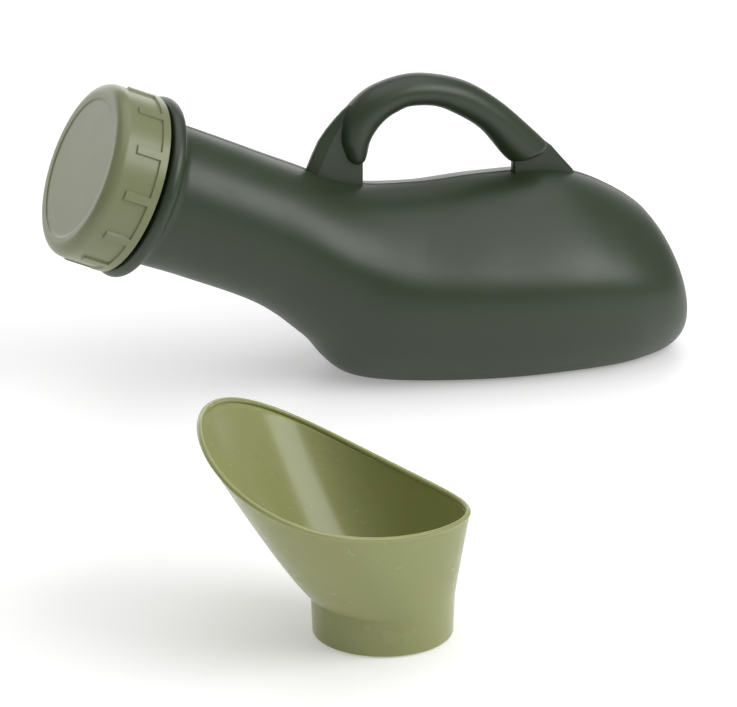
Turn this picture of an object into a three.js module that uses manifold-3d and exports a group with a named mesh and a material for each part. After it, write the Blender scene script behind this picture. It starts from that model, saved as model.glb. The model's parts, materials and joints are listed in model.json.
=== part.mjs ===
// Urine bottle: a lying bottle with a screw cap, a ring seal and a loose adapter funnel.
// Millimetres. +X runs from the mouth towards the tail and +Z is up. The origin is the middle of the flat base.
import * as THREE from 'three';
import { LoftGeometry } from 'three/addons/geometries/LoftGeometry.js';
import { mergeVertices } from 'three/addons/utils/BufferGeometryUtils.js';
import Module from 'manifold-3d';

const wasm = await Module();
wasm.setup();

// Driving dimensions
const gap = 0.3;                     // between touching pieces
const wall = 1.8;                    // blown wall of the bottle
const neckTilt = THREE.MathUtils.degToRad(24);
const capSeat = [-154.8, 89.1];      // x and z of the neck axis at the open end of the closed cap
const boreRadius = 27.0;
const finishRadius = 29.8;           // neck under the thread
const neckRadius = 29.4;             // neck behind the collar
const neckStart = -13.5;             // along the neck axis, where the blown body takes over
const lipHeight = 17.4;              // mouth lip above the cap's open end
const collarRadius = 37.6;
const collarTop = -1.8;
const collarBack = -7.6;
const neckCut = -42;                 // along the neck axis, where the shell is divided behind the neck
const tailCut = -22;                 // along x, where it is divided again ahead of the tail
const threadPitch = 5.0;
const threadStarts = 2;
const threadLead = threadPitch * threadStarts;
const threadCrest = 31.8;
const capRadius = 36.9;
const skirtRadius = 36.0;
const capInnerRadius = 33.6;
const capThreadCrest = 30.6;
const capHeight = 21.8;
const capTopThickness = 2.4;
const capShoulder = 4.8;              // round between the skirt and the face
const bandHeight = 3.5;
const faceRadius = 29.3;
const gripBars = 12;
const gripTurn = THREE.MathUtils.degToRad(5);
const gripWidth = 3.6;
const gripTop = 14.0;
const sealInner = 26.2;
const sealOuter = 31.4;
const edgeRound = 1.6;               // round of the edge of the flat base
const plateThickness = 5.0;
const handleWall = 1.9;
const funnelPlace = [-133.4, -261.3];
const funnelTurn = THREE.MathUtils.degToRad(-20.3);
const spigotTip = 26.0;
const spigotTop = 26.6;
const spigotHeight = 15.0;
const funnelWall = 1.7;
const bowlHalfLength = 49.8;
const bowlHalfWidth = 48.0;
const bowlShift = 17.8;              // middle of the rim, from the spigot's axis towards the high lip
const rimLow = 47.2;
const rimHigh = 81.5;
const ringPoints = 40;               // round the bottle
const funnelPoints = 48;             // round the funnel

// Sections of the blown body: top x, top z, bottom x, bottom z, half width.
// A bottom below zero is cut flat, and that makes the base.
const bodySections = [
  [-117.2, 104.3, -134.7, 48.6, 29.8],
  [-88.3, 90.6, -103.3, 33.7, 32],
  [-61.6, 79.3, -82.3, 16.7, 37],
  [-33.8, 75.6, -63.8, -1.4, 43],
  [-3.8, 75.9, -19, -11.2, 48.5],
  [28.3, 75.1, 19.7, -11.9, 51],
  [51.2, 65.9, 52.9, -8.5, 47],
  [67.7, 51, 76.3, 2.1, 33],
  [75.4, 31, 75.4, 31, 0],
];

// Booleans ---------------------------------------------------------------------------------------

// A closed geometry as a solid with its faces turned outwards.
function solid(geometry) {
  const bare = geometry.index ? geometry.toNonIndexed() : geometry.clone();
  for (const name of Object.keys(bare.attributes)) {
    if (name !== 'position') bare.deleteAttribute(name);
  }
  const merged = mergeVertices(bare, 1e-4);
  const corners = merged.index.array;
  const kept = [];
  for (let k = 0; k < corners.length; k += 3) {
    const [a, b, c] = [corners[k], corners[k + 1], corners[k + 2]];
    if (a !== b && b !== c && c !== a) kept.push(a, b, c);   // a ring that shrinks to a pole leaves slivers
  }
  const place = merged.attributes.position;
  const [p, q, r] = [new THREE.Vector3(), new THREE.Vector3(), new THREE.Vector3()];
  let volume = 0;
  for (let k = 0; k < kept.length; k += 3) {
    p.fromBufferAttribute(place, kept[k]);
    q.fromBufferAttribute(place, kept[k + 1]);
    r.fromBufferAttribute(place, kept[k + 2]);
    volume += p.dot(q.cross(r));
  }
  if (volume < 0) kept.reverse();
  const mesh = new wasm.Mesh({
    numProp: 3,
    vertProperties: new Float32Array(place.array),
    triVerts: new Uint32Array(kept),
  });
  return new wasm.Manifold(mesh);
}

function geometryOf(manifold) {
  const mesh = manifold.getMesh();
  const geometry = new THREE.BufferGeometry();
  geometry.setAttribute('position', new THREE.BufferAttribute(new Float32Array(mesh.vertProperties), 3));
  geometry.setIndex(new THREE.BufferAttribute(new Uint32Array(mesh.triVerts), 1));
  geometry.computeVertexNormals();
  return geometry;
}

// Curves -----------------------------------------------------------------------------------------

// Smooth curve through the rows, one per whole number of s; before and after stand for rows beyond the ends.
function along(rows, before, after, s) {
  const i = Math.min(Math.floor(s), rows.length - 2);
  const t = s - i;
  const a = i === 0 ? before : rows[i - 1];
  const d = i + 2 < rows.length ? rows[i + 2] : after;
  return rows[i].map((b, k) => {
    const c = rows[i + 1][k];
    return b + 0.5 * t * (c - a[k] + t * (2 * a[k] - 5 * b + 4 * c - d[k] + t * (3 * (b - c) + d[k] - a[k])));
  });
}

// Height with everything below floorHeight cut flat, and the edge rounded.
function cutFlat(z, floorHeight) {
  const above = z - floorHeight;
  if (above > edgeRound) return z;
  if (above < -edgeRound) return floorHeight;
  return floorHeight + (above + edgeRound) ** 2 / (4 * edgeRound);
}

// Point on the neck axis, raised towards the mouth by height.
function onNeckAxis(height) {
  return [capSeat[0] - height * Math.cos(neckTilt), capSeat[1] + height * Math.sin(neckTilt)];
}

// The same section row as bodySections holds, for a circle square to the neck axis.
function neckRow(height, radius) {
  const [x, z] = onNeckAxis(height);
  const dx = radius * Math.sin(neckTilt);
  const dz = radius * Math.cos(neckTilt);
  return [x + dx, z + dz, x - dx, z - dz, radius];
}

// A closed ring of points on one section row, from the bottom round through +y, the top and -y.
function ring(row, topPower, floorHeight) {
  const [topX, topZ, bottomX, bottomZ, halfWidth] = row;
  const points = [];
  for (let k = 0; k < ringPoints; k += 1) {
    const angle = (2 * Math.PI * k) / ringPoints - Math.PI / 2;
    const up = Math.sin(angle);
    const side = Math.cos(angle);
    const power = up > 0 ? 2 / topPower : 1;
    const lift = Math.sign(up) * Math.abs(up) ** power;
    const y = halfWidth * Math.sign(side) * Math.abs(side) ** power;
    const share = (1 - lift) / 2;
    const x = topX + (bottomX - topX) * share;
    const z = topZ + (bottomZ - topZ) * share;
    points.push(new THREE.Vector3(x, y, floorHeight === null ? z : cutFlat(z, floorHeight)));
  }
  return points;
}

// A section row drawn in by inset all round. A section that is a single point stays as it is.
function drawnIn([topX, topZ, bottomX, bottomZ, halfWidth], inset) {
  const length = Math.hypot(topX - bottomX, topZ - bottomZ);
  if (length === 0) return [topX, topZ, bottomX, bottomZ, halfWidth];
  const dx = ((topX - bottomX) / length) * inset;
  const dz = ((topZ - bottomZ) / length) * inset;
  return [topX - dx, topZ - dz, bottomX + dx, bottomZ + dz, halfWidth - inset];
}

// Rings of the blown body from the neck to the tail, each drawn in by inset; the tail is also pulled forward.
function bodyRings(inset, steps) {
  const rows = [neckRow(neckStart, neckRadius), ...bodySections].map((row, index, all) => {
    const pulled = index < all.length - 3 ? 0 : (inset * (index - all.length + 4)) / 3;
    const [topX, topZ, bottomX, bottomZ, halfWidth] = drawnIn(row, inset);
    return [topX - pulled, topZ, bottomX - pulled, bottomZ, halfWidth];
  });
  const before = neckRow(neckStart + 20, neckRadius - inset);
  const [topX, topZ, bottomX, bottomZ, width] = rows[rows.length - 2];
  const after = [bottomX, bottomZ, topX, topZ, -width];
  const last = rows.length - 1;
  const rings = [];
  for (let k = 0; k <= steps; k += 1) {
    const s = (last * k) / steps;
    const row = along(rows, before, after, s);
    const crest = Math.min(Math.max((s - 2) / 2, 0), 1) * Math.min((last - s) / 2.5, 1);
    rings.push(ring(row, 2 - 0.35 * crest, inset));
  }
  return rings;
}

// Lathe about the neck axis from [radius, height] points, closed on itself or on the axis.
function neckLathe(profile) {
  const geometry = new THREE.LatheGeometry(profile.map(([r, h]) => new THREE.Vector2(r, h)), 48);
  geometry.rotateX(Math.PI / 2);
  return ontoNeck(geometry);
}

// Places a geometry built about +Z, with z = 0 at the cap's open end, onto the neck.
function ontoNeck(geometry) {
  geometry.rotateY(neckTilt - Math.PI / 2);
  geometry.translate(capSeat[0], 0, capSeat[1]);
  return geometry;
}

// The sections with one more at each end, shrunk to the middle of its neighbour, which closes the loft.
function withPoles(sections) {
  const pole = (section) => {
    const middle = new THREE.Vector3();
    section.forEach((point) => middle.addScaledVector(point, 1 / section.length));
    return section.map(() => middle);
  };
  return [pole(sections[0]), ...sections, pole(sections[sections.length - 1])];
}

// A helical rib: root and crest are radii, low and high the heights where its centre starts and ends.
// offset is the height at which its helix crosses startAngle.
function threadRib(root, crest, low, high, startAngle, offset, rootWidth) {
  const turns = (high - low) / threadLead;
  const steps = Math.ceil(turns * 32);
  const sections = [];
  for (let k = 0; k <= steps; k += 1) {
    const centre = low + ((high - low) * k) / steps;
    const angle = startAngle + (2 * Math.PI * (centre - offset)) / threadLead;
    const fade = Math.min(1, 0.25 + 0.75 * Math.min(k, steps - k) / 4);
    const tip = root + (crest - root) * fade;
    const half = rootWidth / 2;
    const crestHalf = half * 0.4;
    const corners = [[root, -half], [tip, -crestHalf], [tip, crestHalf], [root, half]];
    sections.push(corners.map(([r, h]) => (
      new THREE.Vector3(r * Math.cos(angle), r * Math.sin(angle), centre + h)
    )));
  }
  return solid(ontoNeck(new LoftGeometry(withPoles(sections))));
}

function twinThread(root, crest, low, high, offset, rootWidth) {
  let thread = null;
  for (let k = 0; k < threadStarts; k += 1) {
    const rib = threadRib(root, crest, low, high, (2 * Math.PI * k) / threadStarts, offset, rootWidth);
    thread = thread ? thread.add(rib) : rib;
  }
  return thread;
}

// Bottle -----------------------------------------------------------------------------------------

function bottleShell() {
  const outside = [
    [-12.2, neckRadius + 0.2],
    [-9.8, neckRadius + 1.2],
    [-8.3, neckRadius + 3.2],
    [collarBack, collarRadius - 1.8],
    [-6.6, collarRadius - 0.3],
    [-4.7, collarRadius],
    [-2.8, collarRadius - 0.3],
    [collarTop, collarRadius - 1.8],
    [collarTop, finishRadius],
    [lipHeight - 0.8, finishRadius],
    [lipHeight, finishRadius - 0.8],
  ];
  const inside = [
    [lipHeight, boreRadius + 0.8],
    [lipHeight - 0.8, boreRadius],
    [-8, boreRadius],
  ];
  const neckRing = ([height, radius]) => ring(neckRow(height, radius), 2, null);
  const sections = [
    ...bodyRings(0, 32).reverse(),
    ...outside.map(neckRing),
    ...inside.map(neckRing),
    ...bodyRings(wall, 24),
  ];
  const shell = solid(new LoftGeometry(sections));
  return shell.add(twinThread(finishRadius - 0.5, threadCrest, 3.0, 13.0, 0, 2.4));
}

// The shell divided across into its neck, its front and its tail, with the gap between them.
function dividedShell() {
  const shell = bottleShell();
  const axis = [-Math.cos(neckTilt), 0, Math.sin(neckTilt)];
  const cut = capSeat[0] * axis[0] + capSeat[1] * axis[2] + neckCut;
  const behindNeck = shell.trimByPlane(axis.map((part) => -part), gap / 2 - cut);
  return {
    bottle_neck: shell.trimByPlane(axis, cut + gap / 2),
    bottle_front: behindNeck.trimByPlane([-1, 0, 0], gap / 2 - tailCut),
    bottle_tail: behindNeck.trimByPlane([1, 0, 0], tailCut + gap / 2),
  };
}

// Handle -----------------------------------------------------------------------------------------

// Sections of the grip from the front end to the back end: outer x, outer z, inner x, inner z, half width.
const gripSections = [
  [-63.2, 87.4, -57.2, 86.2, 4.8],
  [-65.6, 92.4, -55.7, 90.8, 6.4],
  [-67.4, 99.8, -53.3, 97.0, 7.6],
  [-65.9, 109.0, -50.6, 102.2, 8.0],
  [-59.0, 116.4, -47.2, 106.9, 8.2],
  [-50.5, 121.3, -42.5, 109.7, 8.2],
  [-37.3, 124.0, -36.9, 111.3, 8.2],
  [-24.8, 122.4, -26.6, 110.4, 8.2],
  [-11.2, 117.0, -17.5, 106.9, 8.2],
  [2.4, 106.8, -5.2, 98.2, 8.2],
  [15.1, 94.1, 5.0, 84.9, 8.2],
  [24.2, 84.6, 8.4, 80.6, 7.8],
];

// The hollow of the grip runs on through the back foot as a narrow slot, and is open below it.
const gripHollow = [
  ...gripSections.slice(1, -1).map((row) => drawnIn(row, handleWall)),
  [19.0, 85.6, 14.0, 84.4, 1.2],
  [20.0, 77.0, 15.0, 76.4, 1.2],
  [21.0, 68.0, 16.0, 68.0, 1.2],
];

// Outer edges of the two flat feet, then the points that close them inside the grip and the body.
const frontFoot = [
  [-58, 110], [-62.5, 113.4], [-65.6, 110.9], [-69.4, 107.2], [-72.7, 103.4], [-76.1, 98.7], [-78.7, 93],
  [-80.4, 88.1], [-82.5, 81], [-84, 74], [-57.5, 68], [-57.5, 88], [-58, 98],
];
const backFoot = [
  [8, 92], [14, 92], [21, 88], [23.6, 85.6], [27, 81.3], [32.4, 74.6], [36, 68], [8.6, 68], [8.6, 82],
];

// An oval tube through sections like the grip's.
function gripTube(rows) {
  const ghost = (a, b) => a.map((value, k) => 2 * value - b[k]);
  const before = ghost(rows[0], rows[1]);
  const after = ghost(rows[rows.length - 1], rows[rows.length - 2]);
  const sections = [];
  const steps = 30;
  const points = 20;
  for (let k = 0; k <= steps; k += 1) {
    const [outerX, outerZ, innerX, innerZ, wide] = along(rows, before, after, ((rows.length - 1) * k) / steps);
    const section = [];
    for (let j = 0; j < points; j += 1) {
      const angle = (2 * Math.PI * j) / points;
      const share = (1 - Math.sin(angle)) / 2;
      section.push(new THREE.Vector3(
        outerX + (innerX - outerX) * share,
        wide * Math.cos(angle),
        outerZ + (innerZ - outerZ) * share,
      ));
    }
    sections.push(section);
  }
  return solid(new LoftGeometry(withPoles(sections)));
}

// A flat foot: its outline in x and z, as thick as the plate along y.
function foot(outline) {
  const shape = new THREE.Shape(outline.map(([x, z]) => new THREE.Vector2(x, z)));
  const geometry = new THREE.ExtrudeGeometry(shape, { depth: plateThickness, bevelEnabled: false });
  geometry.translate(0, 0, -plateThickness / 2);
  geometry.rotateX(Math.PI / 2);
  return solid(geometry);
}

function handle() {
  const clearBody = solid(new LoftGeometry(withPoles(bodyRings(-gap, 34))));
  return gripTube(gripSections)
    .add(foot(frontFoot))
    .add(foot(backFoot))
    .subtract(clearBody)
    .subtract(gripTube(gripHollow));
}

// Cap and seal -----------------------------------------------------------------------------------

function capShell() {
  const innerTop = capHeight - capTopThickness;
  const profile = [
    [0, innerTop],
    [capInnerRadius - 0.6, innerTop],
    [capInnerRadius, innerTop - 0.6],
    [capInnerRadius, 0.4],
    [capInnerRadius + 0.4, 0],
    [capRadius - 0.4, 0],
    [capRadius, 0.4],
    [capRadius, bandHeight - 0.3],
    [capRadius - 0.3, bandHeight],
    [skirtRadius, bandHeight],
  ];
  for (let k = 0; k <= 6; k += 1) {
    const angle = (Math.PI / 2) * (k / 6);
    profile.push([
      skirtRadius - capShoulder * (1 - Math.cos(angle)),
      capHeight - capShoulder * (1 - Math.sin(angle)),
    ]);
  }
  profile.push([faceRadius - 0.6, capHeight - 0.5]);
  profile.push([0, capHeight - 0.5]);
  return solid(neckLathe(profile.reverse()));
}

function gripBar(index) {
  const depth = 3;
  const height = gripTop - bandHeight + 1;
  const bar = new THREE.BoxGeometry(depth, gripWidth, height);
  bar.translate(capRadius - 0.1 - depth / 2, 0, bandHeight - 1 + height / 2);
  bar.rotateZ(gripTurn + (2 * Math.PI * index) / gripBars);
  return solid(ontoNeck(bar));
}

function screwCap() {
  let cap = capShell();
  for (let k = 0; k < gripBars; k += 1) {
    cap = cap.add(gripBar(k));
  }
  return cap.add(twinThread(capInnerRadius + 0.5, capThreadCrest, 1.8, 11.8, threadPitch / 2, 2.6));
}

function capSeal() {
  const low = lipHeight + gap;
  const high = capHeight - capTopThickness - gap;
  const profile = [[sealInner, low], [sealOuter, low], [sealOuter, high], [sealInner, high], [sealInner, low]];
  return neckLathe(profile);
}

// Funnel -----------------------------------------------------------------------------------------

// Rim of the bowl at angle, where pi points at the high lip, in the funnel's own frame.
function rimPoint(angle, inset) {
  const lipwards = (1 - Math.cos(angle)) / 2;
  const x = (bowlHalfLength - inset) * Math.cos(angle) - bowlShift;
  const y = (bowlHalfWidth - inset) * Math.sin(angle) * (1 - 0.4 * Math.cos(angle));
  return new THREE.Vector3(x, y, rimLow + (rimHigh - rimLow) * lipwards ** 1.86);
}

function funnelRings(inset, levels) {
  const rings = [];
  for (const level of levels) {
    const section = [];
    for (let k = 0; k < funnelPoints; k += 1) {
      const angle = (2 * Math.PI * k) / funnelPoints;
      const radius = spigotTop - inset;
      const base = spigotHeight + inset * 0.4;
      const low = new THREE.Vector3(radius * Math.cos(angle), radius * Math.sin(angle), base);
      const high = rimPoint(angle, inset);
      const share = level ** (1.06 - 0.1 * (1 - Math.cos(angle)));
      section.push(new THREE.Vector3(
        low.x + (high.x - low.x) * share,
        low.y + (high.y - low.y) * share,
        low.z + (high.z - low.z) * level,
      ));
    }
    rings.push(section);
  }
  return rings;
}

function circle(radius, height) {
  const section = [];
  for (let k = 0; k < funnelPoints; k += 1) {
    const angle = (2 * Math.PI * k) / funnelPoints;
    section.push(new THREE.Vector3(radius * Math.cos(angle), radius * Math.sin(angle), height));
  }
  return section;
}

function funnel() {
  const levels = [0, 0.12, 0.25, 0.4, 0.55, 0.7, 0.85, 1];
  const sections = [
    circle(spigotTip, 0),
    ...funnelRings(0, levels),
    ...funnelRings(funnelWall, levels).reverse(),
    circle(spigotTip - funnelWall, 0),
  ];
  sections.push(sections[0]);
  return new LoftGeometry(sections, { closed: true, capStart: false, capEnd: false });
}

// Scene ------------------------------------------------------------------------------------------

const bottleGreen = { color: 0x434c3c, roughness: 0.42, metalness: 0 };
const capGreen = { color: 0x858a72, roughness: 0.38, metalness: 0 };
const funnelGreen = { color: 0x94976c, roughness: 0.32, metalness: 0 };
const sealGrey = { color: 0xd8d8d0, roughness: 0.7, metalness: 0 };

const group = new THREE.Group();

function addPiece(name, geometry, finish, parent = group) {
  const mesh = new THREE.Mesh(geometry, new THREE.MeshStandardMaterial(finish));
  mesh.name = name;
  parent.add(mesh);
  return mesh;
}

for (const [name, piece] of Object.entries(dividedShell())) {
  addPiece(name, geometryOf(piece), bottleGreen);
}
addPiece('handle', geometryOf(handle()), bottleGreen);
addPiece('screw_cap', geometryOf(screwCap()), capGreen);
addPiece('cap_seal', capSeal(), sealGrey);

const funnelGroup = new THREE.Group();
funnelGroup.position.set(funnelPlace[0], funnelPlace[1], 0);
funnelGroup.rotation.z = funnelTurn;
group.add(funnelGroup);
addPiece('funnel', funnel(), funnelGreen, funnelGroup);

export default group;
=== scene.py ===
import json

import bpy
import numpy as np
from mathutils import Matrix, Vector


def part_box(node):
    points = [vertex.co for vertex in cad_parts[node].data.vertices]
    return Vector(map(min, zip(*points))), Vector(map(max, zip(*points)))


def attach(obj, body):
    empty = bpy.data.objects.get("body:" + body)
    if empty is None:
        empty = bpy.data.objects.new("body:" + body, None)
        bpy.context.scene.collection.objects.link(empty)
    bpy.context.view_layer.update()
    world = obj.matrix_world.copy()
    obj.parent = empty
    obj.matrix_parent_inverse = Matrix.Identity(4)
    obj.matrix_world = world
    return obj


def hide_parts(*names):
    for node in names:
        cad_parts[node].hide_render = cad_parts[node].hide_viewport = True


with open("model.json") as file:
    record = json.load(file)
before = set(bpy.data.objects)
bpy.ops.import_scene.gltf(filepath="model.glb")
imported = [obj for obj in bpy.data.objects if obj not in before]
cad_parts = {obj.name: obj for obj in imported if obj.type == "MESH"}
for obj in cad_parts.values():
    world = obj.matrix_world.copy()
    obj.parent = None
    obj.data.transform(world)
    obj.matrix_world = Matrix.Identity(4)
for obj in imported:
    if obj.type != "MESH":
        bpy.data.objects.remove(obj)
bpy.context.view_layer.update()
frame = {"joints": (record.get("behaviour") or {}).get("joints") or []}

mm = 0.001   # shapes are worked out in millimetres, and become metres as they are made into meshes
pi = np.pi

# The neck's own directions come from the joint that the cap turns on.
capTurn = next(joint for joint in frame["joints"] if joint["name"] == "cap_turn")
capSeat = np.array(capTurn["pos_m"]) / mm   # on the neck axis, at the open end of the closed cap
neckAxis = np.array(capTurn["axis"])        # towards the mouth
neckUp = np.array([neckAxis[2], 0, -neckAxis[0]])
sideways = np.array([0, 1, 0])


# Curves and grids

# Points at a radius, an angle and a height about the neck axis; angle 0 is the upper side of the neck.
def aboutNeck(radius, angle, height):
    radius, angle, height = (part[..., None] for part in np.broadcast_arrays(radius, angle, height))
    return capSeat + height * neckAxis + radius * (np.cos(angle) * neckUp + np.sin(angle) * sideways)


# A smooth curve that meets row i at s = i: on each stretch a cubic whose slope at a row is half the step
# from the row before it to the row after it.
def smoothRows(rows, before, after, s):
    held = np.vstack([before, rows, after])
    i = np.clip(np.floor(s).astype(int), 0, len(rows) - 2)
    t = (s - i)[:, None]
    a, b, c, d = (held[i + k] for k in range(4))
    return b + 0.5 * t * (c - a + t * (2 * a - 5 * b + 4 * c - d + t * (3 * (b - c) + d - a)))


# Rises from 0 at low to 1 at high, level at both ends.
def smoothStep(value, low, high):
    t = np.clip((value - low) / (high - low), 0, 1)
    return t * t * (3 - 2 * t)


# Points on an arc, or on a quarter of an ellipse where the two reaches differ; angles in degrees.
def arc(centre, reach, start, end, count=9):
    angle = np.radians(np.linspace(start, end, count))
    return np.stack([centre[0] + reach[0] * np.cos(angle), centre[1] + reach[1] * np.sin(angle)], axis=1)


# The same line of points with more of them on its long stretches, none further apart than step.
def closer(points, step):
    points = np.asarray(points, float)
    lengths = np.linalg.norm(np.diff(points, axis=0), axis=1)
    counts = np.maximum(np.ceil(lengths / step).astype(int), 1)
    share = np.concatenate([np.arange(n) / n + k for k, n in enumerate(counts)] + [[len(counts)]])
    whole = np.arange(len(points))
    return np.stack([np.interp(share, whole, column) for column in points.T], axis=1)


# A closed surface from a grid of points, rows by columns. The columns join up round it. The rows join up too
# on a ring, and otherwise the first and the last row are one point each.
def closedGrid(name, grid, ring=False):
    rows, columns = grid.shape[:2]
    index = np.arange(rows * columns).reshape(rows, columns)
    if ring:
        index = np.vstack([index, index[:1]])
    else:
        index[0] = index[0, 0]
        index[-1] = index[-1, 0]
    low, high = index[:-1], index[1:]
    corners = np.stack([low, np.roll(low, -1, 1), np.roll(high, -1, 1), high], axis=-1).reshape(-1, 4)
    first = corners[:, 0] == corners[:, 1]
    last = corners[:, 2] == corners[:, 3]
    quads = corners[~first & ~last]
    fans = np.vstack([corners[first][:, [0, 2, 3]], corners[last][:, [0, 1, 2]]])
    points = grid.reshape(-1, 3)
    triangles = np.vstack([fans, quads[:, [0, 1, 2]], quads[:, [0, 2, 3]]])
    p, q, r = (points[triangles[:, k]] for k in range(3))
    if np.einsum("ij,ij->", p, np.cross(q, r)) < 0:
        quads, fans = quads[:, ::-1], fans[:, ::-1]
    used, fresh = np.unique(np.concatenate([quads.ravel(), fans.ravel()]), return_inverse=True)
    quads, fans = fresh[:quads.size].reshape(-1, 4), fresh[quads.size:].reshape(-1, 3)
    mesh = bpy.data.meshes.new(name)
    mesh.from_pydata((points[used] * mm).tolist(), [], quads.tolist() + fans.tolist())
    piece = bpy.data.objects.new(name, mesh)
    bpy.context.scene.collection.objects.link(piece)
    return piece


# Joins tool to piece, or cuts it away, and removes it.
def combine(piece, tool, operation):
    modifier = piece.modifiers.new("combine", "BOOLEAN")
    modifier.object = tool
    modifier.operation = operation
    modifier.solver = "MANIFOLD"
    whole = bpy.data.meshes.new_from_object(piece.evaluated_get(bpy.context.evaluated_depsgraph_get()))
    piece.modifiers.clear()
    piece.data = whole
    bpy.data.objects.remove(tool)


# Smooth shading with crisp creases, a finish, and the body and CAD nodes that the piece stands for.
def finishPiece(piece, material, body, nodes, creaseDegrees=32):
    piece.data.shade_smooth()
    piece.data.set_sharp_from_angle(angle=np.radians(creaseDegrees))
    piece.data.materials.clear()
    piece.data.materials.append(material)
    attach(piece, body)
    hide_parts(*nodes)
    triangles = sum(len(face.vertices) - 2 for face in piece.data.polygons)
    print(f"{piece.name}: {triangles} triangles")


# Materials

# A hex colour as seen on a screen, turned to linear light.
def linearColour(hexColour):
    shown = np.array([int(hexColour[k:k + 2], 16) for k in (1, 3, 5)]) / 255
    linear = np.where(shown <= 0.04045, shown / 12.92, ((shown + 0.055) / 1.055) ** 2.4)
    return (*linear.tolist(), 1.0)


# Adds a node with its settings. An input that is given a socket is linked to it.
def addNode(tree, kind, inputs=None, **settings):
    node = tree.nodes.new(kind)
    for name, value in settings.items():
        setattr(node, name, value)
    for name, value in (inputs or {}).items():
        if isinstance(value, bpy.types.NodeSocket):
            tree.links.new(value, node.inputs[name])
        else:
            node.inputs[name].default_value = value
    return node


# Moulded plastic. Its colour drifts a little from thick to thin, its gloss varies in patches, and its skin
# holds the fine even grain of a blasted mould, with faint rubbed marks from handling.
def mouldedPlastic(look):
    material = bpy.data.materials.new(look["name"])
    material.use_nodes = True
    tree = material.node_tree
    tree.nodes.clear()
    place = addNode(tree, "ShaderNodeTexCoord").outputs["Object"]
    drift = addNode(tree, "ShaderNodeTexNoise", {
        "Vector": place, "Scale": 1 / (look["driftSize"] * mm), "Detail": 3.0, "Roughness": 0.55})
    colour = addNode(tree, "ShaderNodeMix", {
        "Factor": drift.outputs["Fac"],
        6: linearColour(look["colour"]),
        7: linearColour(look["driftColour"])}, data_type="RGBA")
    patches = addNode(tree, "ShaderNodeTexNoise", {
        "Vector": place, "Scale": 1 / (look["patchSize"] * mm), "Detail": 4.0, "Roughness": 0.6})
    stretched = addNode(tree, "ShaderNodeMapping", {
        "Vector": place, "Scale": (1.0, 9.0, 6.0), "Rotation": (0.3, 0.5, 0.2)})
    rubs = addNode(tree, "ShaderNodeTexNoise", {
        "Vector": stretched.outputs["Vector"], "Scale": 1 / (look["rubSize"] * mm), "Detail": 2.0})
    rubbed = addNode(tree, "ShaderNodeMapRange", {
        "Value": rubs.outputs["Fac"], "From Min": 0.62, "From Max": 0.75,
        "To Min": 0.0, "To Max": look["rubDulls"]})
    gloss = addNode(tree, "ShaderNodeMapRange", {
        "Value": patches.outputs["Fac"], "From Min": 0.3, "From Max": 0.7,
        "To Min": look["roughness"] - look["roughnessDrift"],
        "To Max": look["roughness"] + look["roughnessDrift"]})
    roughness = addNode(tree, "ShaderNodeMath", {
        0: gloss.outputs["Result"], 1: rubbed.outputs["Result"]}, operation="ADD")
    grain = addNode(tree, "ShaderNodeTexNoise", {
        "Vector": place, "Scale": 1 / (look["grainSize"] * mm), "Detail": 2.0, "Roughness": 0.5})
    wave = addNode(tree, "ShaderNodeTexNoise", {
        "Vector": place, "Scale": 1 / (look["waveSize"] * mm), "Detail": 1.0})
    skin = addNode(tree, "ShaderNodeBump", {
        "Height": wave.outputs["Fac"], "Strength": 1.0, "Distance": look["waveDepth"] * mm})
    normal = addNode(tree, "ShaderNodeBump", {
        "Height": grain.outputs["Fac"], "Normal": skin.outputs["Normal"], "Strength": 1.0,
        "Distance": look["grainDepth"] * mm})
    shader = addNode(tree, "ShaderNodeBsdfPrincipled", {
        "Base Color": colour.outputs[2], "Roughness": roughness.outputs["Value"], "IOR": look["ior"],
        "Subsurface Weight": look["glow"], "Subsurface Radius": (1.0, 0.95, 0.6),
        "Subsurface Scale": look["glowDepth"] * mm, "Normal": normal.outputs["Normal"]})
    addNode(tree, "ShaderNodeOutputMaterial", {"Surface": shader.outputs["BSDF"]})
    return material


# Blow-moulded high-density polyethylene: dark olive, satin, slightly uneven from the stretch of the blow.
# The grain of the blasted mould is about 0.3 mm; it is drawn at 0.7 mm so that it shows.
blownHdpe = {
    "name": "blowMouldedHdpe", "colour": "#27331f", "driftColour": "#2a3622", "driftSize": 45.0,
    "roughness": 0.40, "roughnessDrift": 0.03, "patchSize": 18.0, "rubSize": 30.0, "rubDulls": 0.05,
    "grainSize": 0.7, "grainDepth": 0.012, "waveSize": 9.0, "waveDepth": 0.03, "ior": 1.54,
    "glow": 0.0, "glowDepth": 1.0}

# Injection-moulded polypropylene from a finely textured steel mould: greyish olive, even, softly glossy.
capPolypropylene = {
    "name": "injectionMouldedPolypropylene", "colour": "#787e5b", "driftColour": "#7c825f", "driftSize": 30.0,
    "roughness": 0.30, "roughnessDrift": 0.02, "patchSize": 12.0, "rubSize": 16.0, "rubDulls": 0.06,
    "grainSize": 0.5, "grainDepth": 0.006, "waveSize": 6.0, "waveDepth": 0.01, "ior": 1.49,
    "glow": 0.0, "glowDepth": 1.0}

# The same plastic from a polished mould: a lighter, yellower olive with a clear gloss and thin walls.
funnelPolypropylene = {
    "name": "polishedMouldPolypropylene", "colour": "#8f935f", "driftColour": "#939763", "driftSize": 40.0,
    "roughness": 0.25, "roughnessDrift": 0.03, "patchSize": 15.0, "rubSize": 22.0, "rubDulls": 0.02,
    "grainSize": 0.6, "grainDepth": 0.004, "waveSize": 12.0, "waveDepth": 0.02, "ior": 1.49,
    "glow": 0.5, "glowDepth": 3.0}

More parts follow.
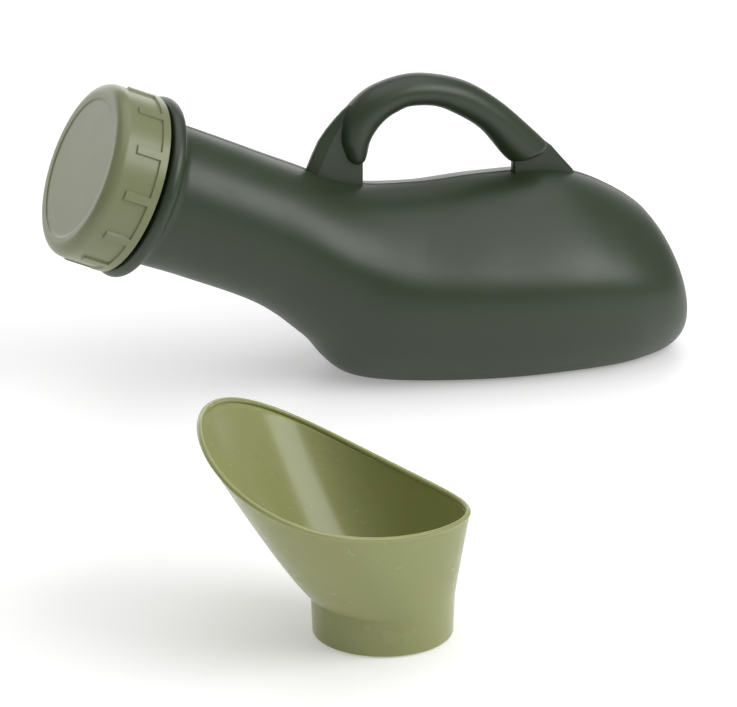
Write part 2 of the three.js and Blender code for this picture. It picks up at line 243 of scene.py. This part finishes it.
# Die-cut closed-cell polyethylene foam: pale, matt, with cells of about half a millimetre.
sealFoam = {
    "name": "dieCutPolyethyleneFoam", "colour": "#d2d2c8", "driftColour": "#dadad2", "driftSize": 8.0,
    "roughness": 0.68, "roughnessDrift": 0.05, "patchSize": 3.0, "rubSize": 9.0, "rubDulls": 0.04,
    "grainSize": 0.5, "grainDepth": 0.03, "waveSize": 4.0, "waveDepth": 0.02, "ior": 1.5,
    "glow": 0.0, "glowDepth": 1.0}


# Bottle

bottle = {
    "wall": 1.8,
    "neckStart": -13.5,        # along the neck axis, where the blown body begins
    "neckRadius": 29.4,
    "collarRadius": 37.6,
    "collarMiddle": -4.7,
    "collarHalf": 2.9,
    "collarFillet": 6.0,
    "finishRadius": 29.8,      # under the thread
    "boreRadius": 27.0,
    "lipHeight": 17.4,
    "lipRound": 0.8,
    "threadPitch": 5.0,
    "threadStarts": 2,
    "threadRise": 2.0,
    "threadLow": 3.0,
    "threadHigh": 13.0,
    "edgeRound": 1.6,          # round of the edge of the flat base
    "seamRise": 0.22,          # parting line
    "seamHalf": 0.45,
}

# Sections of the blown body from the neck to the tail: top x, top z, bottom x, bottom z, half width. What
# would lie below zero is pressed flat, and that makes the base.
bodySections = np.array([
    [-117.2, 104.3, -134.7, 48.6, 29.8],
    [-88.3, 90.6, -103.3, 33.7, 32.0],
    [-61.6, 79.3, -82.3, 16.7, 37.0],
    [-33.8, 76.4, -63.8, -1.4, 43.0],
    [-3.8, 77.0, -19.0, -11.2, 48.5],
    [28.3, 75.1, 19.7, -11.9, 51.0],
    [51.2, 65.2, 52.9, -8.5, 47.0],
    [67.7, 51.0, 76.3, 2.1, 33.0],
    [75.4, 31.0, 75.4, 31.0, 0.0],
])


# The section row of a circle square to the neck axis.
def neckRow(height, radius):
    top, bottom = aboutNeck(radius, np.array([0, pi]), height)
    return np.array([top[0], top[2], bottom[0], bottom[2], radius])


# Height above a level, with everything below it pressed flat: a parabola rounds the edge between the two.
def pressedFlat(z, level):
    above = z - level
    edge = bottle["edgeRound"]
    rounded = level + (above + edge) ** 2 / (4 * edge)
    return np.where(above > edge, z, np.where(above < -edge, level, rounded))


# Angles round half a section, from the middle of its bottom to the middle of its top. They stand close at
# the two parting lines and along the edge of the base, where the section meets the level it is pressed to.
def halfAngles(rows, level, count):
    depth = np.clip((rows[:, 1] - level) / np.maximum(rows[:, 1] - rows[:, 3], 1e-6), 0, 1)
    edge = np.hypot(np.arccos(np.clip(2 * depth - 1, -1, 1)), 0.22)[:, None]
    near = 0.075
    seam = 0.035
    bottom = 0 * edge
    top = bottom + pi
    knots = np.hstack([bottom, bottom + seam, edge - near, edge + near, top - seam, top])
    shares = [0, 0.08, 0.2, 0.4, 0.92, 1]
    share = np.linspace(0, 1, count)
    return np.stack([np.interp(share, shares, row) for row in knots])


# The blown body drawn in by inset, as a grid from the neck to the tail. A point at angle a from the bottom
# has a lift of -cos a and a side of sin a; above the middle both are raised to a power that grows towards the
# crest, which lifts the top into a soft ridge. A parting line stands proud along the middle.
def bodyGrid(inset, rowCount, halfCount, seam):
    rows = np.vstack([neckRow(bottle["neckStart"], bottle["neckRadius"]), bodySections])
    along = rows[:, 0:2] - rows[:, 2:4]
    along = along / np.maximum(np.linalg.norm(along, axis=1, keepdims=True), 1e-9)
    rows[:, 0:2] -= along * inset
    rows[:, 2:4] += along * inset
    rows[:, 4] = np.where(rows[:, 4] > 0, rows[:, 4] - inset, 0)
    rows[-3:, [0, 2]] -= inset * np.array([[1 / 3], [2 / 3], [1]])
    before = neckRow(bottle["neckStart"] + 20, bottle["neckRadius"] - inset)
    after = rows[-2, [2, 3, 0, 1, 4]] * [1, 1, 1, 1, -1]   # the tail mirrored, which makes its tip round
    last = len(rows) - 1
    s = np.linspace(0, last, rowCount)
    rows = smoothRows(rows, before, after, s)
    angle = halfAngles(rows, inset, halfCount)
    angle = np.hstack([angle, 2 * pi - angle[:, -2:0:-1]])
    lift = -np.cos(angle)
    side = np.sin(angle)
    crest = (np.clip((s - 2) / 2, 0, 1) * np.clip((last - s) / 2.5, 0, 1))[:, None]
    power = 1 + 0.21 * crest * smoothStep(lift, 0, 0.8)
    lift = np.sign(lift) * np.abs(lift) ** power
    side = np.sign(side) * np.abs(side) ** power
    topX, topZ, bottomX, bottomZ, halfWidth = (rows[:, k, None] for k in range(5))
    share = (1 - lift) / 2
    x = topX + (bottomX - topX) * share
    y = halfWidth * side
    z = topZ + (bottomZ - topZ) * share
    grid = np.stack([x, y, pressedFlat(z, inset)], axis=-1)
    if seam:
        clear = smoothStep(z, 3, 9) * np.clip((last - s[:, None]) * 4, 0, 1)
        rise = bottle["seamRise"] * np.exp(-((y / bottle["seamHalf"]) ** 2)) * clear
        outwards = np.stack([topX - bottomX, 0 * topX, topZ - bottomZ], axis=-1)
        outwards = outwards / np.maximum(np.linalg.norm(outwards, axis=-1, keepdims=True), 1e-6)
        grid = grid + (rise * np.sign(lift))[..., None] * outwards
    return grid


# Radius and height of the moulded neck from behind the collar, over it, up the finish and over the lip into
# the bore, as straight stretches and arcs.
def neckProfile():
    fillet = bottle["collarFillet"]
    back = bottle["collarMiddle"] - bottle["collarHalf"]
    front = bottle["collarMiddle"] + bottle["collarHalf"]
    rim = bottle["neckRadius"] + fillet
    finish = bottle["finishRadius"]
    bore = bottle["boreRadius"]
    lip = bottle["lipHeight"]
    edge = bottle["lipRound"]
    return np.vstack([
        arc((rim, back - fillet), (fillet, fillet), 172, 95, 12),
        arc((rim, bottle["collarMiddle"]), (bottle["collarRadius"] - rim, bottle["collarHalf"]), -90, 90, 21),
        arc((finish + 1, front + 1), (1, 1), 270, 180, 5),
        arc((finish - edge, lip - edge), (edge, edge), 0, 90, 7),
        arc((bore + edge, lip - edge), (edge, edge), 90, 180, 7),
        [[bore, -8]],
    ])


# How far a two-start thread stands out at an angle and a height: the nearest turn's middle climbs one lead
# a turn, and the thread fades in and out at its ends.
def threadRise(angle, height, look, offset):
    pitch = look["threadPitch"]
    lead = pitch * look["threadStarts"]
    off = (height - offset - lead * angle / (2 * pi) + pitch / 2) % pitch - pitch / 2
    middle = height - off
    ends = smoothStep(np.minimum(middle - look["threadLow"], look["threadHigh"] - middle), -0.3, 1.2)
    return look["threadRise"] * ends * (1 - smoothStep(np.abs(off), 0.45, 1.25))


def makeBottleShell():
    halfCount = 92
    outside = bodyGrid(0, 230, halfCount, True)
    inside = bodyGrid(bottle["wall"], 70, halfCount, False)
    profile = closer(neckProfile(), 0.45)
    radius, height = profile[:, 0, None], profile[:, 1, None]
    first = halfAngles(neckRow(0, bottle["neckRadius"])[None], 0, halfCount)
    angle = pi - np.hstack([first, 2 * pi - first[:, -2:0:-1]])
    onFinish = (np.abs(radius - bottle["finishRadius"]) < 0.01) & (height > 0)
    rise = threadRise(angle, height, bottle, 0)
    neck = aboutNeck(radius + np.where(onFinish, rise, 0), angle, height)
    return closedGrid("bottle", np.concatenate([outside[::-1], neck, inside]))


# Handle

handle = {
    "footHalf": 2.5,           # half thickness of the two flat feet
    "footEdgeHalf": 1.1,       # half thickness at their outer edge
    "steps": 150,
    "around": 64,
    "endRound": 3.4,
}

# Sections of the grip from the front end to the back end: outer x, outer z, inner x, inner z, half width.
gripSections = np.array([
    [-62.4, 87.4, -56.2, 86.2, 4.8],
    [-64.6, 92.4, -54.7, 90.8, 6.4],
    [-66.2, 99.2, -53.2, 97.0, 7.6],
    [-64.7, 107.9, -50.2, 101.7, 8.0],
    [-58.4, 115.0, -46.5, 105.4, 8.2],
    [-50.2, 119.7, -42.2, 107.8, 8.2],
    [-37.3, 122.5, -36.9, 109.5, 8.2],
    [-24.8, 121.3, -26.9, 108.7, 8.2],
    [-11.0, 116.6, -18.3, 104.9, 8.2],
    [2.7, 107.1, -6.4, 96.7, 8.2],
    [15.7, 94.7, 3.4, 84.6, 8.2],
    [25.2, 84.8, 7.6, 80.4, 7.8],
])

# Each foot is drawn by its outer edge and by the line where its flat side begins, point for point.
frontFoot = {
    "edge": [[-57, 109], [-61.7, 112.3], [-64.7, 110], [-68.4, 106.3], [-71.7, 102.6], [-75.0, 98],
             [-77.6, 92.5], [-79.6, 87.7], [-81.8, 80.6], [-83.2, 74], [-56.3, 70], [-56.3, 88], [-57, 98]],
    "flat": [[-57.4, 108], [-60.7, 109.5], [-63.1, 107.6], [-66.2, 104.3], [-68.5, 100.7], [-70.9, 96.2],
             [-73.0, 91.3], [-75.1, 86.7], [-77.6, 80.3], [-79.2, 75], [-56.9, 71], [-56.9, 88], [-57.6, 98]],
}
backFoot = {
    "edge": [[8, 92], [14, 93.4], [21.9, 88.2], [24.7, 85.9], [28.2, 81.6], [33.8, 75], [37, 68], [7.8, 68],
             [7.8, 82]],
    "flat": [[9, 91], [14, 91.6], [20.4, 86.8], [22.9, 84.5], [26.2, 80.5], [31.2, 74.6], [34, 69], [8.4, 69],
             [8.4, 82]],
}


# The grip as a grid of ovals, each between an outer and an inner point. Near the two ends a quarter round
# closes them: at a distance d from the end the oval is sqrt(1 - (1 - d)^2) of its size.
def gripGrid():
    ends = 2 * gripSections[[0, -1]] - gripSections[[1, -2]]
    s = np.linspace(0, len(gripSections) - 1, handle["steps"])
    outerX, outerZ, innerX, innerZ, wide = smoothRows(gripSections, ends[0], ends[1], s).T[:, :, None]
    x, z = (outerX + innerX) / 2, (outerZ + innerZ) / 2
    run = np.concatenate([[0], np.cumsum(np.hypot(np.diff(x[:, 0]), np.diff(z[:, 0])))])
    toEnd = np.minimum(run, run[-1] - run) / handle["endRound"]
    closing = np.sqrt(1 - (1 - np.clip(toEnd, 0, 1)) ** 2)[:, None]
    angle = np.linspace(0, 2 * pi, handle["around"], endpoint=False)[None]
    rise = closing * np.sin(angle) / 2
    across = wide * closing * np.cos(angle)
    return np.stack([x + (outerX - innerX) * rise, across, z + (outerZ - innerZ) * rise], axis=-1)


# A foot as a grid of rings: from the middle of one flat side out to where it ends, down a slope to the edge,
# round the edge and back over the other side.
def makeFoot(foot):
    corners = len(foot["edge"])
    s = np.linspace(0, corners, 12 * corners, endpoint=False)
    closed = [np.array(foot[line] + foot[line][:1]) for line in ("flat", "edge")]
    inner, outer = (np.stack([np.interp(s, np.arange(corners + 1), column) for column in line.T], axis=1)
                    for line in closed)
    middle = inner.mean(axis=0)
    half, edgeHalf = handle["footHalf"], handle["footEdgeHalf"]
    side = [(middle + (inner - middle) * share, half) for share in (0, 0.25, 0.5, 0.75, 0.97, 1)]
    side += [(inner + (outer - inner) * share, half + (edgeHalf - half) * share)
             for share in (0.03, 0.5, 0.94)]
    side += [(outer, edgeHalf * 0.7), (outer, 0)]
    rings = side + [(ring, -height) for ring, height in side[-2::-1]]
    return closedGrid("foot", np.stack([
        np.stack([ring[:, 0], np.full(len(ring), height), ring[:, 1]], axis=1) for ring, height in rings]))


def makeBottle():
    shell = makeBottleShell()
    grip = closedGrid("grip", gripGrid())
    combine(grip, makeFoot(frontFoot), "UNION")
    combine(grip, makeFoot(backFoot), "UNION")
    middleOfWall = bodyGrid(bottle["wall"] / 2, 120, 60, False)
    middleOfWall[0] = middleOfWall[0].mean(axis=0)
    combine(grip, closedGrid("middleOfWall", middleOfWall), "DIFFERENCE")
    combine(shell, grip, "UNION")
    return shell


# Cap

cap = {
    "radius": 36.9,            # over the band and the ribs
    "skirtRadius": 36.0,
    "innerRadius": 33.6,
    "height": 21.8,
    "innerHeight": 19.4,
    "shoulder": 4.8,
    "faceRadius": 29.3,
    "faceDepth": 0.5,
    "bandHeight": 3.5,
    "ribTop": 14.0,
    "ribWidth": 3.6,
    "ribs": 12,
    "ribTurn": np.radians(5),
    "edge": 0.22,              # soft edge of the band and the ribs
    "threadPitch": 5.0,
    "threadStarts": 2,
    "threadRise": 3.0,
    "threadLow": 1.8,
    "threadHigh": 11.8,
}


# The cap as a grid of a profile carried round the neck axis. The profile runs from the middle of the face
# over the shoulder, down the skirt and up inside. On the skirt, the band and the ribs stand proud wherever
# the height is under the band's or the angle is within half a rib's width.
def makeCap():
    recess = cap["height"] - cap["faceDepth"]
    shoulder = cap["shoulder"]
    skirtTop = cap["height"] - shoulder
    outer = np.vstack([
        [[0, recess]],
        arc((cap["faceRadius"] - 1.4, recess + 1.2), (1.6, 1.2), 270, 320, 5),
        arc((cap["skirtRadius"] - shoulder, skirtTop), (shoulder, shoulder), 92, 0, 24),
        [[cap["skirtRadius"], 0.3]],
    ])
    inner = np.vstack([
        arc((cap["radius"] - 0.3, 0.3), (0.3, 0.3), 0, -90, 4),
        arc((cap["innerRadius"] + 0.5, 0.5), (0.5, 0.5), 270, 180, 5),
        [[cap["innerRadius"], 0.6]],
        arc((cap["innerRadius"] - 0.6, cap["innerHeight"] - 0.6), (0.6, 0.6), 0, 90, 5),
        [[0, cap["innerHeight"]]],
    ])
    outer = closer(outer, 0.5)
    levels = np.array([cap["bandHeight"], cap["ribTop"]])
    fine = np.unique(np.concatenate([level + cap["edge"] * np.linspace(-1, 1, 7) for level in levels]))
    onSkirt = np.abs(outer[:, 0] - cap["skirtRadius"]) < 1e-6
    heights = np.unique(np.concatenate([outer[onSkirt, 1], fine]))[::-1]
    skirt = np.stack([np.full(len(heights), cap["skirtRadius"]), heights], axis=1)
    outer = np.vstack([outer[~onSkirt], skirt])
    halfRib = cap["ribWidth"] / 2 / cap["radius"]
    soft = cap["edge"] / cap["radius"]
    gap = 2 * pi / cap["ribs"]
    oneRib = np.concatenate([
        np.linspace(-halfRib - soft, -halfRib + soft, 6),
        np.linspace(-halfRib + soft, halfRib - soft, 6)[1:-1],
        np.linspace(halfRib - soft, halfRib + soft, 6),
        np.linspace(halfRib + soft, gap - halfRib - soft, 14)[1:-1],
    ])
    angle = (cap["ribTurn"] + gap * np.arange(cap["ribs"])[:, None] + oneRib).ravel()[None]
    fromRib = np.abs((angle - cap["ribTurn"] + gap / 2) % gap - gap / 2)
    radius, height = outer[:, 0, None], outer[:, 1, None]
    rib = (1 - smoothStep(fromRib, halfRib - soft, halfRib + soft))
    rib = rib * (1 - smoothStep(height, cap["ribTop"] - cap["edge"], cap["ribTop"] + cap["edge"]))
    band = 1 - smoothStep(height, cap["bandHeight"] - cap["edge"], cap["bandHeight"] + cap["edge"])
    proud = (cap["radius"] - cap["skirtRadius"]) * np.maximum(rib, band) * (radius > cap["skirtRadius"] - 1)
    outside = aboutNeck(radius + proud, angle, height)
    inner = closer(inner, 0.45)
    radius, height = inner[:, 0, None], inner[:, 1, None]
    inThread = (np.abs(radius - cap["innerRadius"]) < 0.01) & (height > 0.5)
    rise = np.where(inThread, threadRise(angle, height, cap, cap["threadPitch"] / 2), 0)
    inside = aboutNeck(radius - rise, angle, height)
    return closedGrid("screwCap", np.concatenate([outside, inside]))


# Seal

seal = {"innerRadius": 26.2, "outerRadius": 31.4, "low": 17.7, "high": 19.1, "round": 0.35}


# A flat ring with rounded edges, carried round the neck axis.
def makeSeal():
    edge = seal["round"]
    reach = (edge, edge)
    inner, outer = seal["innerRadius"] + edge, seal["outerRadius"] - edge
    low, high = seal["low"] + edge, seal["high"] - edge
    profile = np.vstack([
        arc((outer, low), reach, -90, 0, 5),
        arc((outer, high), reach, 0, 90, 5),
        arc((inner, high), reach, 90, 180, 5),
        arc((inner, low), reach, 180, 270, 5),
    ])
    angle = np.linspace(0, 2 * pi, 120, endpoint=False)[None]
    return closedGrid("capSeal", aboutNeck(profile[:, 0, None], angle, profile[:, 1, None]), ring=True)


# Funnel

funnel = {
    "turn": np.radians(-20.3),
    "tipRadius": 26.0,
    "topRadius": 26.6,
    "spigotHeight": 15.0,
    "wall": 1.7,
    "rimRound": 1.1,           # half thickness of the rounded rim
    "halfLength": 49.8,
    "halfWidth": 48.0,
    "shift": 17.8,             # middle of the rim, from the spigot's axis towards the high lip
    "rimLow": 47.2,
    "rimHigh": 81.5,
}


# The rim's line at an angle, where pi points at the high lip: an oval that is narrower towards the low end.
def rimLine(angle, inset):
    lipwards = (1 - np.cos(angle)) / 2
    x = (funnel["halfLength"] - inset) * np.cos(angle) - funnel["shift"]
    y = (funnel["halfWidth"] - inset) * np.sin(angle) * (1 - 0.4 * np.cos(angle))
    z = funnel["rimLow"] + (funnel["rimHigh"] - funnel["rimLow"]) * lipwards ** 1.86
    return np.stack([x, y, z], axis=-1)


# The bowl's wall from the top of the spigot to the rim: level 0 is the spigot's circle and level 1 the rim,
# and the wall swells outwards on the lip's side.
def bowlGrid(inset, level, angle):
    radius = funnel["topRadius"] - inset
    low = np.stack([
        radius * np.cos(angle), radius * np.sin(angle), 0 * angle + funnel["spigotHeight"]], axis=-1)
    high = rimLine(angle, inset)
    share = level ** (1.06 - 0.1 * (1 - np.cos(angle)))
    flat = low + (high - low) * share[..., None]
    upright = low[..., 2] + (high[..., 2] - low[..., 2]) * level
    return np.stack([flat[..., 0], flat[..., 1], upright], axis=-1)


# Turns a grid about the upright axis and sets the middle of its box over the middle of the CAD funnel's.
def standing(grid):
    turn = funnel["turn"]
    x = grid[..., 0] * np.cos(turn) - grid[..., 1] * np.sin(turn)
    y = grid[..., 0] * np.sin(turn) + grid[..., 1] * np.cos(turn)
    low, high = (np.array(corner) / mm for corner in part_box("funnel"))
    shift = [(low[k] + high[k] - side.min() - side.max()) / 2 for k, side in enumerate((x, y))]
    return np.stack([x + shift[0], y + shift[1], grid[..., 2]], axis=-1)


# Round edges for the rim and for the spigot's tip: points on a circle about the middle of the wall, from an
# angle to another, where 0 points away from the funnel's axis and 90 points up.
def roundEdge(middle, outwards, radius, start, end, count=13):
    turn = np.radians(np.linspace(start, end, count))[:, None, None]
    return middle + radius * (np.cos(turn) * outwards + np.sin(turn) * np.array([0, 0, 1]))


def makeFunnel():
    angle = np.linspace(0, 2 * pi, 200, endpoint=False)[None]
    level = np.linspace(0, 1, 56)[:-1, None] * 0.985   # the rim's own rounding takes the last of the wall
    wall = funnel["wall"]
    outwards = np.stack([np.cos(angle), np.sin(angle), 0 * angle], axis=-1)

    def spigot(inset, heights):
        widening = funnel["topRadius"] - funnel["tipRadius"]
        radius = funnel["tipRadius"] + widening * heights / funnel["spigotHeight"]
        upright = heights + 0 * angle
        onAxis = np.zeros_like(upright)
        return (radius - inset)[..., None] * outwards + np.stack([onAxis, onAxis, upright], axis=-1)

    heights = np.linspace(wall / 2, funnel["spigotHeight"], 14)[:-1, None]
    tip = spigot(wall / 2, np.array([[wall / 2]]))
    across = rimLine(angle, 0) - rimLine(angle, wall)
    across = across / np.linalg.norm(across, axis=-1, keepdims=True)
    rim = roundEdge(rimLine(angle, wall / 2), across, funnel["rimRound"], -50, 230, 17)
    return closedGrid("adapterFunnel", standing(np.concatenate([
        roundEdge(tip, outwards, wall / 2, 200, 340, 9), spigot(0, heights), bowlGrid(0, level, angle), rim,
        bowlGrid(wall, level, angle)[::-1], spigot(wall, heights)[::-1]])), ring=True)


print("materials")
bottleFinish = mouldedPlastic(blownHdpe)
capFinish = mouldedPlastic(capPolypropylene)
sealFinish = mouldedPlastic(sealFoam)
funnelFinish = mouldedPlastic(funnelPolypropylene)

print("bottle")
finishPiece(makeBottle(), bottleFinish, "bottle", [
    "bottle_neck", "bottle_front", "bottle_tail", "handle"])

print("cap and seal")
finishPiece(makeCap(), capFinish, "cap", ["screw_cap"])
finishPiece(makeSeal(), sealFinish, "seal", ["cap_seal"])

print("funnel")
finishPiece(makeFunnel(), funnelFinish, "adapter", ["funnel"])


# Studio

studio = {
    "floorSize": 12.0,
    "floorColour": "#ececec",
    "floorGlow": 0.3,
    "target": Vector((-68.0, 0.0, 0.0)) * mm,
    "azimuth": np.radians(-18.1),
    "elevation": np.radians(21.0),
    "distance": 2.6,
    "lens": 311.0,
    "aside": 13.68,            # millimetres from the target to the middle of the view, to the right
    "above": 5.51,             # and up
    "floorGap": 0.0004,        # below the bottle, so that the two faces don't flicker
    "roomLight": 0.3,
}


def makeCamera():
    turn, rise = studio["azimuth"], studio["elevation"]
    back = Vector((np.sin(turn) * np.cos(rise), -np.cos(turn) * np.cos(rise), np.sin(rise)))
    right = Vector((np.cos(turn), np.sin(turn), 0))
    up = back.cross(right)
    camera = bpy.data.objects.new("camera", bpy.data.cameras.new("camera"))
    bpy.context.scene.collection.objects.link(camera)
    camera.data.lens = studio["lens"]
    middle = studio["target"] + (right * studio["aside"] + up * studio["above"]) * mm
    camera.location = middle + back * studio["distance"]
    camera.rotation_mode = "QUATERNION"
    camera.rotation_quaternion = (-back).to_track_quat("-Z", "Y")
    camera.data.clip_end = 60
    bpy.context.scene.camera = camera


# A soft light: a flat panel of an even brightness, seen in reflections but not by the camera.
def addPanel(name, place, aim, width, height, brightness):
    light = bpy.data.lights.new(name, "AREA")
    light.shape = "RECTANGLE"
    light.size = width
    light.size_y = height
    light.energy = brightness * pi * width * height
    panel = bpy.data.objects.new(name, light)
    bpy.context.scene.collection.objects.link(panel)
    panel.location = place
    panel.rotation_mode = "QUATERNION"
    panel.rotation_quaternion = (Vector(aim) - Vector(place)).to_track_quat("-Z", "Y")
    panel.visible_camera = False


# A place at a distance from the object, turned from the front towards the right and raised, in degrees.
def aroundObject(turn, rise, distance):
    turn, rise = np.radians([turn, rise])
    alongFloor = distance * np.cos(rise)
    return (alongFloor * np.sin(turn), -alongFloor * np.cos(turn), distance * np.sin(rise))


def makeStudio():
    half = studio["floorSize"] / 2
    mesh = bpy.data.meshes.new("floor")
    corners = [(-half, -half, 0), (half, -half, 0), (half, half, 0), (-half, half, 0)]
    mesh.from_pydata(corners, [], [(0, 1, 2, 3)])
    floor = bpy.data.objects.new("floor", mesh)
    bpy.context.scene.collection.objects.link(floor)
    floor.location = (0, 0, -studio["floorGap"])
    table = bpy.data.materials.new("opalAcrylicLightTable")
    table.use_nodes = True
    shader = table.node_tree.nodes["Principled BSDF"]
    shader.inputs["Base Color"].default_value = linearColour(studio["floorColour"])
    shader.inputs["Roughness"].default_value = 0.5
    shader.inputs["Specular IOR Level"].default_value = 0.25
    shader.inputs["Emission Color"].default_value = (1, 1, 1, 1)
    shader.inputs["Emission Strength"].default_value = studio["floorGlow"]
    mesh.materials.append(table)
    world = bpy.data.worlds.new("room")
    world.use_nodes = True
    world.node_tree.nodes["Background"].inputs["Color"].default_value = (1, 1, 1, 1)
    world.node_tree.nodes["Background"].inputs["Strength"].default_value = studio["roomLight"]
    bpy.context.scene.world = world
    bpy.context.scene.view_settings.view_transform = "Standard"
    addPanel("ceiling", (0, 0.1, 1.4), (0, 0, 0), 1.6, 1.6, 1.2)
    addPanel("key", aroundObject(38, 43, 1.1), (-0.05, 0, 0.06), 0.85, 0.6, 4.0)
    addPanel("backWall", (0, 2.2, 0.6), (0, 0, 0.1), 3.6, 1.2, 1.6)


print("studio")
makeCamera()
makeStudio()
